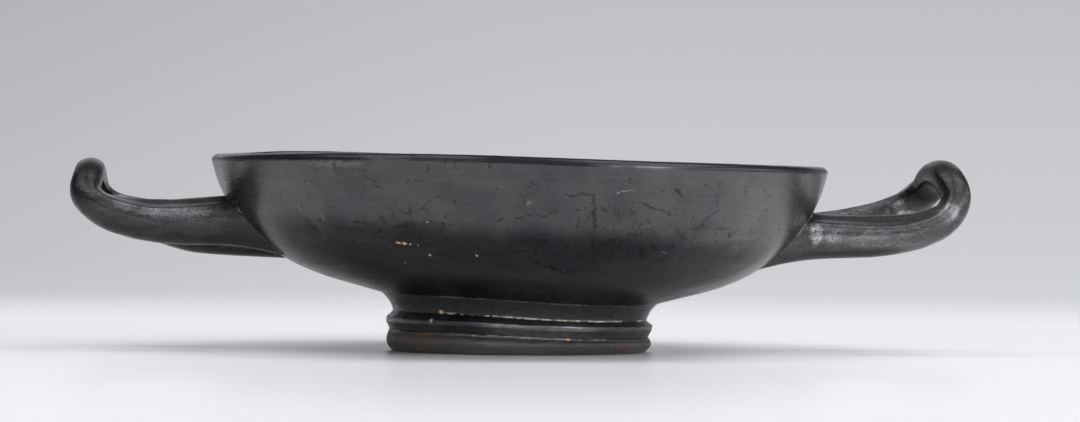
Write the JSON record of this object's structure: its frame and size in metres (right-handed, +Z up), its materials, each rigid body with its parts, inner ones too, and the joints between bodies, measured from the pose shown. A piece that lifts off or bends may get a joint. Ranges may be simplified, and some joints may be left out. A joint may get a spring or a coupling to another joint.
{
  "type": "kylix cup",
  "caption": "Shallow, wide stemless drinking cup of black-gloss fired clay, with upturned horizontal loop handles and a low moulded ring foot; for drinking wine.",
  "frame": {"origin": "centre of the foot's resting ring, on the surface that the cup stands on", "axes": "+Z up, out of the bowl's mouth; X across the handles, one at +X and one at -X; -Y is the side seen from the front"},
  "size_m": [0.2402, 0.1652, 0.0531],
  "materials": {
    "black_gloss": "black gloss slip over fired clay: satin to glossy, with fine wheel marks, small scratches and chips that show tan clay, thin pale lime deposit in the foot's grooves and brown wear on its mouldings"
  },
  "bodies": {
    "root": {"kylix_cup": "black_gloss"}
  },
  "joints": []
}
